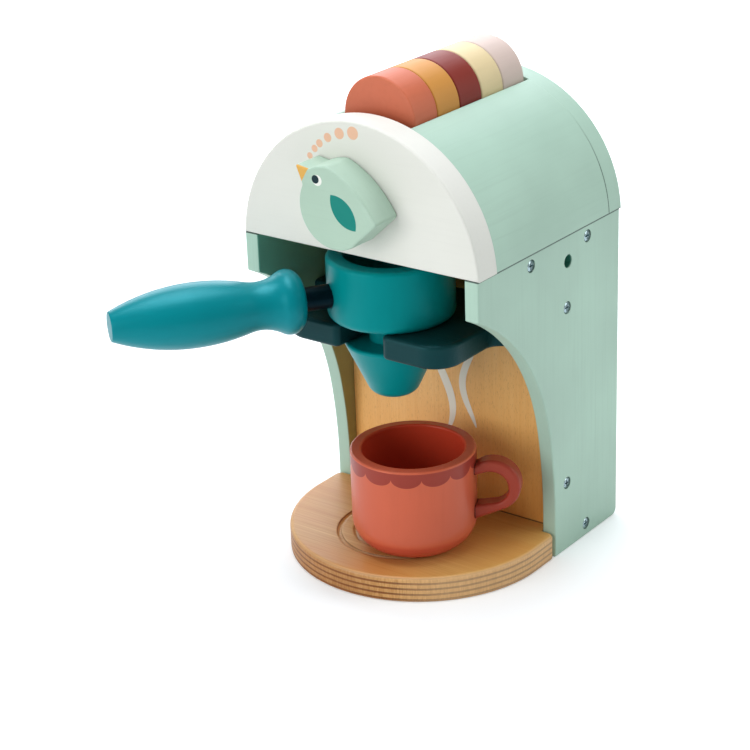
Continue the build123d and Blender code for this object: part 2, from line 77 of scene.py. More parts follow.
# Large soft boxes: one overhead, one low at the front left, a weak one at the back right, and a wide
# one behind, whose glancing light lies as a sheen on upward faces.
def soft_box(name, place, aim, width, height, watts, tone=(1.0, 1.0, 1.0)):
    """A rectangular lamp at a place, turned so that its face looks at aim."""
    lamp = bpy.data.lights.new(name, "AREA")
    lamp.shape = "RECTANGLE"
    lamp.size = width
    lamp.size_y = height
    lamp.energy = watts
    lamp.color = tone
    holder = bpy.data.objects.new(name, lamp)
    holder.location = place
    holder.rotation_euler = (Vector(aim) - Vector(place)).to_track_quat("-Z", "Y").to_euler()
    bpy.context.scene.collection.objects.link(holder)


soft_box(
    "overhead_box", place=(-0.15, 0.05, 1.50), aim=(0.0, 0.05, 0.10),
    width=1.0, height=1.0, watts=16.2, tone=(0.97, 0.98, 1.05),
)
soft_box(
    "front_left_box", place=(-0.60, -1.77, 0.62), aim=(0.0, 0.0, 0.12),
    width=1.3, height=1.2, watts=17.4,
)
soft_box(
    "right_box", place=(1.40, 0.80, 0.80), aim=(0.08, 0.07, 0.12),
    width=0.9, height=0.9, watts=6.8,
)
soft_box(
    "back_left_box", place=(-1.44, 1.92, 1.25), aim=(0.0, 0.05, 0.15),
    width=3.0, height=1.8, watts=44.0, tone=(0.97, 1.0, 1.08),
)

# The room gives a dim light, a little green from its walls, and is plain white to the eye.
room_light = (0.88, 1.0, 0.97, 1.0)
room_strength = 0.30
plain_white = (1.0, 1.0, 1.0, 1.0)
world = bpy.data.worlds.new("studio_room")
bpy.context.scene.world = world
world.use_nodes = True
room = world.node_tree
room_glow = room.nodes["Background"]
room_glow.inputs["Color"].default_value = room_light
room_glow.inputs["Strength"].default_value = room_strength
room_seen = room.nodes.new("ShaderNodeBackground")
room_seen.inputs["Color"].default_value = plain_white
room_seen.inputs["Strength"].default_value = 1.0
room_ray = room.nodes.new("ShaderNodeLightPath")
room_mix = room.nodes.new("ShaderNodeMixShader")
room.links.new(room_ray.outputs["Is Camera Ray"], room_mix.inputs["Fac"])
room.links.new(room_glow.outputs["Background"], room_mix.inputs[1])
room.links.new(room_seen.outputs["Background"], room_mix.inputs[2])
room.links.new(room_mix.outputs["Shader"], room.nodes["World Output"].inputs["Surface"])

# The floor is a wide sheet of white card, a hair below the toy. It keeps the toy's soft shadow, and
# a little glow that only the eye sees, stronger far out, carries it up to white.
floor_radius = 9.0
floor_corners = 96
floor_level = -0.0002
card_white = (0.86, 0.87, 0.88, 1.0)
card_roughness = 0.9
card_sheen = 0.1
glow_near, glow_far = 0.26, 0.80
glow_starts, glow_full = 0.16, 1.4
ring = np.linspace(0.0, 2 * np.pi, floor_corners, endpoint=False)
level_ring = np.full(floor_corners, floor_level)
rim = np.stack([floor_radius * np.cos(ring), floor_radius * np.sin(ring), level_ring], axis=1)
card = bpy.data.meshes.new("floor_card")
card.from_pydata(rim.tolist(), [], [list(range(floor_corners))])
floor = bpy.data.objects.new("floor_card", card)
bpy.context.scene.collection.objects.link(floor)
card_finish = bpy.data.materials.new("white_card")
card_finish.use_nodes = True
card_tree = card_finish.node_tree
card_shader = card_tree.nodes["Principled BSDF"]
card_shader.inputs["Base Color"].default_value = card_white
card_shader.inputs["Roughness"].default_value = card_roughness
card_shader.inputs["Specular IOR Level"].default_value = card_sheen
card_shader.inputs["Emission Color"].default_value = plain_white
card_place = card_tree.nodes.new("ShaderNodeTexCoord")
card_distance = card_tree.nodes.new("ShaderNodeVectorMath")
card_distance.operation = "LENGTH"
card_spread = card_tree.nodes.new("ShaderNodeMapRange")
card_spread.inputs["From Min"].default_value = glow_starts
card_spread.inputs["From Max"].default_value = glow_full
card_spread.inputs["To Min"].default_value = glow_near
card_spread.inputs["To Max"].default_value = glow_far
card_ray = card_tree.nodes.new("ShaderNodeLightPath")
card_glow = card_tree.nodes.new("ShaderNodeMath")
card_glow.operation = "MULTIPLY"
card_tree.links.new(card_place.outputs["Object"], card_distance.inputs[0])
card_tree.links.new(card_distance.outputs["Value"], card_spread.inputs["Value"])
card_tree.links.new(card_ray.outputs["Is Camera Ray"], card_glow.inputs[0])
card_tree.links.new(card_spread.outputs["Result"], card_glow.inputs[1])
card_tree.links.new(card_glow.outputs[0], card_shader.inputs["Emission Strength"])
card.materials.append(card_finish)


# ---------------------------------------------------------------- base board
# A half-round board of birch plywood under clear matt varnish. Its top veneer runs from side to
# side; its sanded edge shows the plies, long grain and end grain in turn.
def colour(red, green, blue):
    """A paint chip's red, green and blue, 0 to 255, as the linear light that shaders take."""
    chip = np.array([red, green, blue]) / 255.0
    linear = np.where(chip <= 0.04045, chip / 12.92, ((chip + 0.055) / 1.055) ** 2.4)
    return (*linear.tolist(), 1.0)


class Finish:
    """A surface finish: each call adds one step to its node tree and gives back the result.

    Masks run from 0 to 1. Sizes are in metres."""

    print_blur = 0.00006
    edge_samples = 6
    edge_turn = (0.985, 0.80)

    def __init__(self, name):
        self.material = bpy.data.materials.new(name)
        self.material.use_nodes = True
        self.tree = self.material.node_tree
        self.shader = self.tree.nodes["Principled BSDF"]
        coordinates = self.tree.nodes.new("ShaderNodeTexCoord")
        self.place = coordinates.outputs["Object"]
        self.facing = coordinates.outputs["Normal"]

    def add(self, kind, inputs, output=0, **settings):
        """Any node: settings are its own choices, inputs are numbers or other nodes' results."""
        node = self.tree.nodes.new("ShaderNode" + kind)
        for key, value in settings.items():
            setattr(node, key, value)
        for key, value in inputs.items():
            if isinstance(value, bpy.types.NodeSocket):
                self.tree.links.new(value, node.inputs[key])
            else:
                node.inputs[key].default_value = value
        return node.outputs[output]

    def sum(self, kind, first, second=0.0, third=0.0):
        """Arithmetic on one to three numbers."""
        return self.add("Math", {0: first, 1: second, 2: third}, operation=kind)

    def axes(self, vector):
        """The x, y and z of a vector."""
        node = self.tree.nodes.new("ShaderNodeSeparateXYZ")
        self.tree.links.new(vector, node.inputs[0])
        return node.outputs[0], node.outputs[1], node.outputs[2]

    def cloud(self, per_metre, detail=3.0, roughness=0.5):
        """Soft noise from 0 to 1 that changes this often along x, y and z: a low figure draws it out."""
        vector = self.add("Mapping", {"Vector": self.place, "Scale": per_metre}, vector_type="POINT")
        inputs = {"Vector": vector, "Scale": 1.0, "Detail": detail, "Roughness": roughness}
        return self.add("TexNoise", inputs)

    def ramp(self, value, low, high, at_low=0.0, at_high=1.0):
        """A value carried from one span to another, and held at its ends."""
        inputs = {"Value": value, "From Min": low, "From Max": high, "To Min": at_low, "To Max": at_high}
        return self.add("MapRange", inputs, clamp=True)

    def apart(self, value, centre):
        """How far a value is from a centre, to either side."""
        return self.sum("ABSOLUTE", self.sum("SUBTRACT", value, centre))

    def distance(self, first, second, centre):
        """How far a point of a plane is from a centre: the root of the sum of the two squares."""
        offsets = {0: self.sum("SUBTRACT", first, centre[0]), 1: self.sum("SUBTRACT", second, centre[1])}
        flat = self.add("CombineXYZ", offsets)
        return self.add("VectorMath", {0: flat}, output="Value", operation="LENGTH")

    def within(self, distance, radius):
        """Where a distance is under a radius, with the slight blur of a printed edge."""
        return self.ramp(distance, radius + self.print_blur, radius - self.print_blur)

    def both(self, *masks):
        """Where all the masks are: their product."""
        product = masks[0]
        for mask in masks[1:]:
            product = self.sum("MULTIPLY", product, mask)
        return product

    def over(self, mask, below, above, most=1.0):
        """One colour laid over another where the mask is, at most by so much."""
        amount = mask if most == 1.0 else self.sum("MULTIPLY", mask, most)
        return self.add("Mix", {0: amount, 6: below, 7: above}, output=2, data_type="RGBA")

    def rounded(self, radius):
        """The surface's direction with its edges softened over a radius, and where those edges are."""
        soft = self.add("Bevel", {"Radius": radius}, samples=self.edge_samples)
        flat = self.tree.nodes.new("ShaderNodeNewGeometry").outputs["Normal"]
        together = self.add("VectorMath", {0: soft, 1: flat}, output="Value", operation="DOT_PRODUCT")
        return soft, self.ramp(together, *self.edge_turn)

    def raised(self, height, distance, normal):
        """The surface's direction after a relief, whose height from 0 to 1 is that distance."""
        inputs = {"Height": height, "Distance": distance, "Strength": 1.0, "Normal": normal}
        return self.add("Bump", inputs)

    def finish(self, base, roughness, normal, coat=0.0, coat_roughness=0.2, specular=0.5,
               tint=(255, 255, 255)):
        """The shader's own inputs."""
        self.tree.links.new(base, self.shader.inputs["Base Color"])
        self.tree.links.new(roughness, self.shader.inputs["Roughness"])
        self.tree.links.new(normal, self.shader.inputs["Normal"])
        self.shader.inputs["Specular IOR Level"].default_value = specular
        self.shader.inputs["Specular Tint"].default_value = colour(*tint)
        self.shader.inputs["Coat Weight"].default_value = coat
        self.shader.inputs["Coat Roughness"].default_value = coat_roughness
        return self.material


def give(material, *names):
    """The finish goes on these CAD nodes."""
    for name in names:
        slots = nodes[name].data.materials
        for index in range(len(slots)):
            slots[index] = material


board_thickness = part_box("base_board")[1].z
panel_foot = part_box("back_panel")[0].y
board_edge_round = 0.0016
ring_wander = 0.050
ring_radians_per_metre = 620.0
streaks_per_metre = (14.0, 900.0, 300.0)
top_pale = colour(220, 174, 106)
top_streak = colour(194, 138, 72)
top_ring = colour(194, 132, 74)
top_patch = colour(208, 134, 66)
top_painted_light = colour(250, 196, 108)
top_painted_shade = colour(190, 140, 84)
veneer_relief = 0.00003
ply_count = 9
ply_wander = 0.0007
end_grain_span = (0.31, 0.38)
glue_line_centre = 0.33
glue_line_half = 0.04
fibres_per_metre = (900.0, 900.0, 160.0)
long_pale, long_dark = colour(232, 178, 112), colour(198, 136, 68)
end_pale, end_dark = colour(160, 98, 40), colour(112, 62, 22)
glue_brown = colour(96, 52, 20)
ply_edge_painted_light = colour(240, 200, 150)
ply_edge_painted_shade = colour(150, 86, 34)
ply_relief = 0.00022
fibre_share = 0.35
sanded_and_highlight_pale = colour(238, 190, 140)
worn_pale = colour(230, 190, 144)
foot_line_edge = (0.0007, 0.0003)
joint_shadow = colour(74, 34, 12)

ply = Finish("birch_plywood")
x, y, z = ply.axes(ply.place)
facing_up = ply.axes(ply.facing)[2]

# Top veneer: pale with fine streaks, broad growth bands and reddish patches, with painted light to the
# right and painted shade to the left.
drift = ply.cloud((2.0, 14.0, 2.0), detail=2.0)
bands = ply.sum("MULTIPLY_ADD", drift, ring_wander, y)
rings = ply.ramp(ply.sum("SINE", ply.sum("MULTIPLY", bands, ring_radians_per_metre)), 0.0, 1.0)
streaks = ply.cloud(streaks_per_metre, detail=4.0, roughness=0.65)
patches = ply.cloud((8.0, 22.0, 8.0), detail=2.0)
top = ply.over(ply.ramp(streaks, 0.3, 0.75), top_pale, top_streak)
top = ply.over(rings, top, top_ring, most=0.22)
top = ply.over(ply.ramp(patches, 0.40, 0.66), top, top_patch, most=0.7)
top = ply.over(ply.ramp(x, 0.020, 0.075), top, top_painted_light, most=0.5)
top = ply.over(ply.ramp(x, -0.030, -0.070), top, top_painted_shade, most=0.25)

# Edge: the height, folded back and forth ply by ply, tells long grain from end grain.
wander = ply.cloud((28.0, 28.0, 4.0), detail=2.0)
level = ply.sum("MULTIPLY_ADD", wander, ply_wander, z)
layer = ply.sum("MULTIPLY", level, ply_count / (2 * board_thickness))
layer = ply.sum("PINGPONG", layer, 0.5)
end_grain = ply.ramp(layer, *end_grain_span)
glue_line = ply.ramp(ply.apart(layer, glue_line_centre), glue_line_half, 0.0)
fibres = ply.cloud(fibres_per_metre, detail=3.0, roughness=0.6)
fibre_lines = ply.ramp(fibres, 0.3, 0.7)
long_ply = ply.over(fibre_lines, long_pale, long_dark)
end_ply = ply.over(fibre_lines, end_pale, end_dark)
plies = ply.over(end_grain, long_ply, end_ply)
plies = ply.over(glue_line, plies, glue_brown, most=0.6)
# Painted light on the edge's right and painted shade on its left.
plies = ply.over(ply.ramp(x, 0.028, 0.056), plies, ply_edge_painted_light, most=0.45)
plies = ply.over(ply.ramp(x, 0.036, 0.004), plies, ply_edge_painted_shade, most=0.5)

# Sanded and worn where top and edge meet, with a painted highlight on that rounding, and dark in the
# joint at the back panel's foot.
on_edge = ply.ramp(ply.sum("ABSOLUTE", facing_up), 0.80, 0.45)
sanded_and_highlit = ply.both(ply.ramp(facing_up, 0.20, 0.55), ply.ramp(facing_up, 0.97, 0.85))
soft, worn = ply.rounded(board_edge_round)
foot_line = ply.ramp(ply.apart(y, panel_foot), *foot_line_edge)
board = ply.over(on_edge, top, plies)
board = ply.over(sanded_and_highlit, board, sanded_and_highlight_pale, most=0.42)
board = ply.over(worn, board, worn_pale, most=0.15)
board = ply.over(foot_line, board, joint_shadow, most=0.8)
gloss = ply.ramp(streaks, 0.2, 0.8, 0.36, 0.50)
proud_plies = ply.both(ply.sum("SUBTRACT", 1.0, end_grain), on_edge)
relief = ply.sum("MULTIPLY_ADD", fibres, fibre_share, proud_plies)
skin = ply.raised(streaks, veneer_relief, ply.raised(relief, ply_relief, soft))
plywood = ply.finish(board, gloss, skin, coat=0.15, coat_roughness=0.28, specular=0.35)
give(plywood, "base_board")


# ---------------------------------------------------------------- back panel and deck
# Thin birch plywood boards, rotary-cut, with upright grain, stained honey by the varnish. The back
# panel is glued and screwed between the side panels; the deck closes the arch from below.
panel_edge_round = 0.0006
figure_wander = 0.12
figure_radians_per_metre = 210.0
pores_per_metre = (2600.0, 2600.0, 420.0)
pore_depth = 0.00004
honey_pale, honey_streak = colour(248, 200, 128), colour(236, 178, 100)
honey_figure = colour(222, 162, 88)
honey_patch = colour(244, 182, 102)
pore_brown = colour(176, 112, 50)
low_painted_reflection = colour(255, 178, 70)
low_painted_reflection_span = (0.085, 0.020)
foot_shadow_span = (board_thickness + 0.0008, board_thickness + 0.0002)
panel_edge_pale = colour(230, 186, 130)

veneer = Finish("honey_veneer")
x, _, z = veneer.axes(veneer.place)
drift = veneer.cloud((9.0, 9.0, 2.2), detail=3.0)
bands = veneer.sum("MULTIPLY_ADD", drift, figure_wander, x)
figure = veneer.sum("SINE", veneer.sum("MULTIPLY", bands, figure_radians_per_metre))
streaks = veneer.cloud((700.0, 700.0, 16.0), detail=4.0, roughness=0.65)
pores = veneer.cloud(pores_per_metre, detail=1.0)
patches = veneer.cloud((14.0, 14.0, 7.0), detail=2.0)
honey = veneer.over(veneer.ramp(streaks, 0.3, 0.72), honey_pale, honey_streak)
honey = veneer.over(veneer.ramp(figure, 0.1, 1.0), honey, honey_figure, most=0.20)
honey = veneer.over(veneer.ramp(patches, 0.35, 0.7), honey, honey_patch, most=0.5)
honey = veneer.over(veneer.ramp(pores, 0.60, 0.72), honey, pore_brown, most=0.40)
# Towards the bottom, a warmer orange paints the light reflected from the base board.
honey = veneer.over(veneer.ramp(z, *low_painted_reflection_span), honey, low_painted_reflection, most=0.5)
honey = veneer.over(veneer.ramp(z, *foot_shadow_span), honey, joint_shadow, most=0.8)
soft, worn = veneer.rounded(panel_edge_round)
honey = veneer.over(worn, honey, panel_edge_pale, most=0.3)
gloss = veneer.ramp(streaks, 0.2, 0.8, 0.42, 0.55)
skin = veneer.raised(veneer.sum("SUBTRACT", streaks, pores), pore_depth, soft)
give(veneer.finish(honey, gloss, skin, coat=0.12, coat_roughness=0.35), "back_panel", "deck_board")


# ---------------------------------------------------------------- painted boards of the housing
# Side panels, curved covers, trough and rear panel are plywood and bent board, sprayed in satin
# mint. The paint is thin enough for the wood's grain to show through and for the sanded edges to
# show a paler line, which also paints a highlight along them. Inward faces get painted shade.
paint_edge_round = 0.0007
paint_drifts_per_metre = (11.0, 11.0, 11.0)
paint_mist_per_metre = (1400.0, 1400.0, 1400.0)
paint_grain_relief = 0.00004
paint_mist_relief = 0.00001
paint_mottle_span = (0.6, 1.4)
paint_gloss_change = (-0.06, 0.08)
paint_coat_roughness = 0.22
brightest_tone = 250
brightest_edge = 246
edge_lift = 1.10


def painted(name, chip, grain, roughness=0.5, spread=0.04, specular=0.25, relief=paint_grain_relief,
            tint=(255, 255, 255), coat=0.0, edge=8, decorate=None):
    """Satin paint over wood: tone drifts slowly, grain shows as faint lines and relief, edges pale.

    grain is how often the wood changes along x, y and z, spread is how far the tone drifts, edge is
    how much paler than the paint its worn edges are, which also paints a highlight along them, and
    decorate lays prints, hairlines and painted shade on it before they wear."""
    paint = Finish(name)
    grain_lines = paint.cloud(grain, detail=4.0, roughness=0.6)
    drift = paint.cloud(paint_drifts_per_metre, detail=3.0)
    mist = paint.cloud(paint_mist_per_metre, detail=3.0, roughness=0.7)
    shade = colour(*(value * (1 - spread) for value in chip))
    light = colour(*(min(value * (1 + spread), brightest_tone) for value in chip))
    base = paint.over(paint.ramp(drift, 0.3, 0.7), shade, light)
    base = paint.over(paint.ramp(grain_lines, 0.5, 0.8), base, shade, most=0.5)
    if decorate:
        base = decorate(paint, base)
    soft, worn = paint.rounded(paint_edge_round)
    # Worn edges are paler; this also paints a highlight along them.
    pale = colour(*(min(value * edge_lift + edge, brightest_edge) for value in chip))
    base = paint.over(worn, base, pale, most=0.4)
    mottle = paint.sum("ADD", grain_lines, drift)
    smoothest, roughest = (roughness + change for change in paint_gloss_change)
    gloss = paint.ramp(mottle, *paint_mottle_span, smoothest, roughest)
    skin = paint.raised(grain_lines, relief, paint.raised(mist, paint_mist_relief, soft))
    return paint.finish(
        base, gloss, skin, coat=coat, coat_roughness=paint_coat_roughness, specular=specular, tint=tint,
    )


upright_grain = (500.0, 500.0, 14.0)
front_to_back_grain = (500.0, 14.0, 500.0)
side_to_side_grain = (14.0, 500.0, 500.0)
mint_chip = (175, 205, 187)
seam_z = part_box("deck_board")[1].z
seam_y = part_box("rear_arch_panel")[0].y
level_seam_edge = (0.00060, 0.00035)
upright_seam_edge = (0.00050, 0.00025)
upright_seam_ends, upright_seam_full = 0.252, 0.225
seam_start = 0.0003
seam_shadow = colour(24, 54, 45)
inward_span = (-0.03, -0.06)
panel_front = (panel_foot + 0.002, panel_foot)
inner_painted_shade_span = (0.110, 0.170)
inner_painted_reflection, inner_painted_shade = colour(150, 150, 92), colour(108, 180, 158)
side_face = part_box("side_panel_right")[1].x
hole_centre = (0.0902, seam_z - 0.0154)
hole_edge = (0.0043, 0.0041)
hole_mouth = (side_face - 0.0002, side_face - 0.0010)
hole_floor = (side_face - 0.0076, side_face - 0.0070)
hole_shade = colour(30, 122, 104)


def seams_inner_shade_and_hole(paint, base):
    """Hairlines where boards meet, painted shade on inward faces, and painted shade in a drilled hole.

    A hairline is where the height, or the depth, is hardly away from a seam's; the upright one stands
    on the level one and fades upwards. A face is turned inward where x times its facing is negative;
    in front of the back panel it gets painted shade in deep green up high, and lower down an olive
    painted reflection of the honey back panel."""
    x, y, z = paint.axes(paint.place)
    level = paint.ramp(paint.apart(z, seam_z), *level_seam_edge)
    upright = paint.both(
        paint.ramp(paint.apart(y, seam_y), *upright_seam_edge),
        paint.ramp(z, upright_seam_ends, upright_seam_full),
        paint.ramp(z, seam_z - seam_start, seam_z),
    )
    outward = paint.sum("MULTIPLY", x, paint.axes(paint.facing)[0])
    inward = paint.both(paint.ramp(outward, *inward_span), paint.ramp(y, *panel_front))
    # Inward faces: painted shade, deep green high up, and an olive painted reflection of the honey panel
    # low down.
    inner_painted_shade_and_reflection = paint.over(paint.ramp(z, *inner_painted_shade_span), inner_painted_reflection, inner_painted_shade)
    base = paint.over(inward, base, inner_painted_shade_and_reflection, most=0.9)
    base = paint.over(paint.sum("MAXIMUM", level, upright), base, seam_shadow)
    # Painted shade inside the drilled hole.
    drilled = paint.both(
        paint.ramp(paint.distance(y, z, hole_centre), *hole_edge),
        paint.ramp(x, *hole_mouth),
        paint.ramp(x, *hole_floor),
    )
    return paint.over(drilled, base, hole_shade, most=0.9)


mint_boards = {
    "mint_paint": (upright_grain, ("side_panel_right", "side_panel_left")),
    "mint_paint_on_bent_board": (
        front_to_back_grain,
        ("arch_cover_right", "arch_cover_left", "trough_floor", "trough_wall_right", "trough_wall_left"),
    ),
    "mint_paint_on_rear_panel": (side_to_side_grain, ("rear_arch_panel",)),
}
for name, (grain, boards) in mint_boards.items():
    mint = painted(name, mint_chip, grain, roughness=0.45, specular=0.5, decorate=seams_inner_shade_and_hole)
    give(mint, *boards)


# ---------------------------------------------------------------- front panel
# A thick half-round board in warm white. Growing dots, printed in peach round the knob, say how
# strong the coffee is to be.
dial_centre = (0.0017, 0.2309)
dial_radius = 0.038
dot_angles = (153.5, 147.1, 138.3, 130.8, 119.9, 106.5, 92.4)
dot_radii = (0.0008, 0.0019, 0.0021, 0.0023, 0.0026, 0.0032, 0.0037)
dot_depth = (0.0008, 0.0004)
dot_peach = colour(238, 190, 160)
warm_white = (231, 229, 221)


def dial_dots(paint, base):
    """Round spots on the front face: a spot is where the distance to its centre is under its radius."""
    x, y, z = paint.axes(paint.place)
    spots = 0.0
    for angle, radius in zip(np.radians(dot_angles).tolist(), dot_radii):
        centre = (
            dial_centre[0] + dial_radius * math.cos(angle),
            dial_centre[1] + dial_radius * math.sin(angle),
        )
        spots = paint.sum("ADD", spots, paint.within(paint.distance(x, z, centre), radius))
    return paint.over(paint.both(spots, paint.ramp(y, *dot_depth)), base, dot_peach)


white = painted(
    "white_paint", warm_white, side_to_side_grain, spread=0.015, specular=0.1, relief=0.00007,
    edge=-20, decorate=dial_dots,
)
give(white, "front_arch_panel")


# ---------------------------------------------------------------- knob
# A bird-shaped block of painted beech on a dowel axle. Beak, eye and wing are printed on its face;
# axle and washer are hidden behind it.
knob_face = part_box("knob")[0].y
print_depth = (knob_face + 0.0012, knob_face + 0.0006)
pale_mint = (179, 204, 185)
beak_line = ((-0.0159, 0.2517), (-0.0214, 0.2426))
beak_yellow = (226, 172, 84)
eye_white_centre = (-0.0098, 0.2461)
eye_white_radius = 0.0031
eye_white = (240, 240, 232)
pupil_centre = (-0.0111, 0.2465)
pupil_radius = 0.0024
pupil_blue = (10, 42, 50)
wing_root = (-0.0011, 0.2394)
wing_tip = (0.0152, 0.2214)
wing_width = 0.0126
wing_green = (0, 132, 120)


def bird_print(paint, base):
    """Beak: one side of a line. Eye: a circle on a circle. Wing: where two equal circles overlap.

    The wing's circles meet at its root and its tip, so their radius is the sum of the squares of its
    length and its width, over four times its width."""
    x, y, z = paint.axes(paint.place)
    front = paint.ramp(y, *print_depth)

    def printed(mask, below, chip):
        """A colour printed on the face alone."""
        return paint.over(paint.both(mask, front), below, colour(*chip))

    (x0, z0), (x1, z1) = beak_line
    length = math.hypot(x1 - x0, z1 - z0)
    across = paint.sum("MULTIPLY", paint.sum("SUBTRACT", x, x0), (z1 - z0) / length)
    along = paint.sum("MULTIPLY", paint.sum("SUBTRACT", z, z0), (x1 - x0) / length)
    beak = paint.ramp(paint.sum("SUBTRACT", across, along), -paint.print_blur, paint.print_blur)
    base = printed(beak, base, beak_yellow)
    base = printed(paint.within(paint.distance(x, z, eye_white_centre), eye_white_radius), base, eye_white)
    base = printed(paint.within(paint.distance(x, z, pupil_centre), pupil_radius), base, pupil_blue)

    span = math.hypot(wing_tip[0] - wing_root[0], wing_tip[1] - wing_root[1])
    arc_radius = (span**2 + wing_width**2) / (4 * wing_width)
    offset = arc_radius - wing_width / 2
    middle = ((wing_root[0] + wing_tip[0]) / 2, (wing_root[1] + wing_tip[1]) / 2)
    aside = (offset * (wing_tip[1] - wing_root[1]) / span, -offset * (wing_tip[0] - wing_root[0]) / span)
    one = paint.distance(x, z, (middle[0] + aside[0], middle[1] + aside[1]))
    other = paint.distance(x, z, (middle[0] - aside[0], middle[1] - aside[1]))
    wing = paint.within(paint.sum("MAXIMUM", one, other), arc_radius)
    return printed(wing, base, wing_green)


bird = painted("pale_mint_paint", pale_mint, side_to_side_grain, spread=0.03, decorate=bird_print)
give(bird, "knob")

dowel_edge_round = 0.0004
dowel_relief = 0.00004
beech_pale, beech_dark = colour(226, 190, 142), colour(196, 150, 100)
dowel = Finish("bare_dowel")
fibres = dowel.cloud((600.0, 20.0, 600.0), detail=4.0, roughness=0.6)
soft = dowel.rounded(dowel_edge_round)[0]
beech = dowel.over(dowel.ramp(fibres, 0.3, 0.7), beech_pale, beech_dark)
gloss = dowel.ramp(fibres, 0.2, 0.8, 0.55, 0.7)
give(dowel.finish(beech, gloss, dowel.raised(fibres, dowel_relief, soft)), "knob_axle", "cup_handle_dowels")


# ---------------------------------------------------------------- screws and washer
# Zinc-plated steel, driven flush: faint turning marks, a bluish sheen and darker recesses. The heads
# of the side screws are a little domed and dark at the rim.
panel_y = (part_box("back_panel")[0].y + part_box("back_panel")[1].y) / 2
deck_low, deck_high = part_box("deck_board")
deck_z = (deck_low.z + deck_high.z) / 2
front_screw_y = 0.0520
rear_screw_y = 0.1112
side_screws = (
    (front_screw_y, deck_z),
    (rear_screw_y, deck_z),
    (panel_y, deck_low.z - 0.0304),
    (panel_y, 0.0437),
    (rear_screw_y, board_thickness / 2),
)
head_radius = 0.00375
head_edge_round = 0.0002
head_rim = (0.84, 0.96)
dome_relief = 0.0030
dome_crown = 1.3
turning_relief = 0.00001
scratches_per_metre = (1800.0, 1800.0, 1800.0)
zinc_pale, zinc_dark = colour(196, 218, 222), colour(150, 172, 178)
rim_shade = colour(40, 66, 64)
far_away = 1.0


def steel_finish(name, domed):
    """Dome: its height is the root of a constant minus the square of the distance to the nearest
    screw's axis, with the head's radius as 1."""
    steel = Finish(name)
    scratches = steel.cloud(scratches_per_metre, detail=3.0)
    soft = steel.rounded(head_edge_round)[0]
    plating = steel.over(steel.ramp(scratches, 0.35, 0.7), zinc_pale, zinc_dark)
    if domed:
        y, z = steel.axes(steel.place)[1:]
        nearest = far_away
        for screw in side_screws:
            nearest = steel.sum("MINIMUM", nearest, steel.distance(y, z, screw))
        radius = steel.sum("DIVIDE", nearest, head_radius)
        below_crown = steel.sum("SUBTRACT", dome_crown, steel.sum("MULTIPLY", radius, radius))
        dome = steel.sum("SQRT", steel.sum("MAXIMUM", below_crown, 0.0))
        soft = steel.raised(dome, dome_relief, soft)
        plating = steel.over(steel.ramp(radius, *head_rim), plating, rim_shade)
    gloss = steel.ramp(scratches, 0.3, 0.7, 0.20, 0.34)
    metal = steel.finish(plating, gloss, steel.raised(scratches, turning_relief, soft))
    steel.shader.inputs["Metallic"].default_value = 1.0
    return metal


give(steel_finish("zinc_plated_domed_heads", True), "side_screws_right", "side_screws_left")
give(steel_finish("zinc_plated_steel", False), "fork_screws", "knob_washer", "knob_screw")


# ---------------------------------------------------------------- fork and portafilter
# The fork is a solid board in slate blue, screwed to the back panel. Bowl, neck, spout and handle
# are turned on a lathe, dipped in satin paint and glued on an ink-blue rod.
# A high edge value gives the slate a pale line along its edges: wear and a painted highlight.
slate = painted(
    "slate_paint", chip=(16, 52, 54), grain=side_to_side_grain, roughness=0.36, spread=0.08,
    specular=0.4, relief=0.00008, tint=(120, 200, 210), edge=36,
)
give(slate, "portafilter_fork")
teal = painted(
    "teal_paint", chip=(0, 134, 136), grain=(180.0, 180.0, 30.0), roughness=0.34,
    specular=0.4, tint=(90, 225, 232),
)
give(teal, "filter_bowl", "filter_neck", "spout_cone")
ink = painted(
    "ink_paint", chip=(0, 12, 18), grain=(60.0, 60.0, 200.0), roughness=0.30,
    specular=0.3, tint=(100, 170, 200),
)
give(ink, "handle_rod")
petrol = painted(
    "petrol_paint", chip=(0, 127, 136), grain=(60.0, 60.0, 260.0), roughness=0.32,
    specular=0.6, tint=(125, 235, 250),
)
give(petrol, "portafilter_handle")


# ---------------------------------------------------------------- cup
# A turned beech cup in terracotta with a band of scallops printed round its rim, and a sawn handle
# in a darker tone, pinned to its wall with two dowels.
cup_low, cup_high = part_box("cup_body")
cup_axis = ((cup_low.x + cup_high.x) / 2, (cup_low.y + cup_high.y) / 2)
cup_outer = (cup_high.x - cup_low.x) / 2
scallop_count = 13
scallop_turn = math.radians(-46.9)
scallop_step = 2 * math.pi / scallop_count
scallop_cusp = cup_high.z - 0.0048
scallop_depth = 0.0050
scallop_blur = 0.00008
whole_steps_back = 8
outer_face = (cup_outer - 0.0014, cup_outer - 0.0010)
rim_top_face = (cup_outer - 0.0006, cup_outer - 0.0016)
bore_face = (cup_outer - 0.0052, cup_outer - 0.0060)
below_rim_round = (cup_high.z - 0.0010, cup_high.z - 0.0013)
rim_top_red = colour(188, 72, 52)
bore_red = colour(208, 66, 40)
band_brown = colour(152, 54, 42)


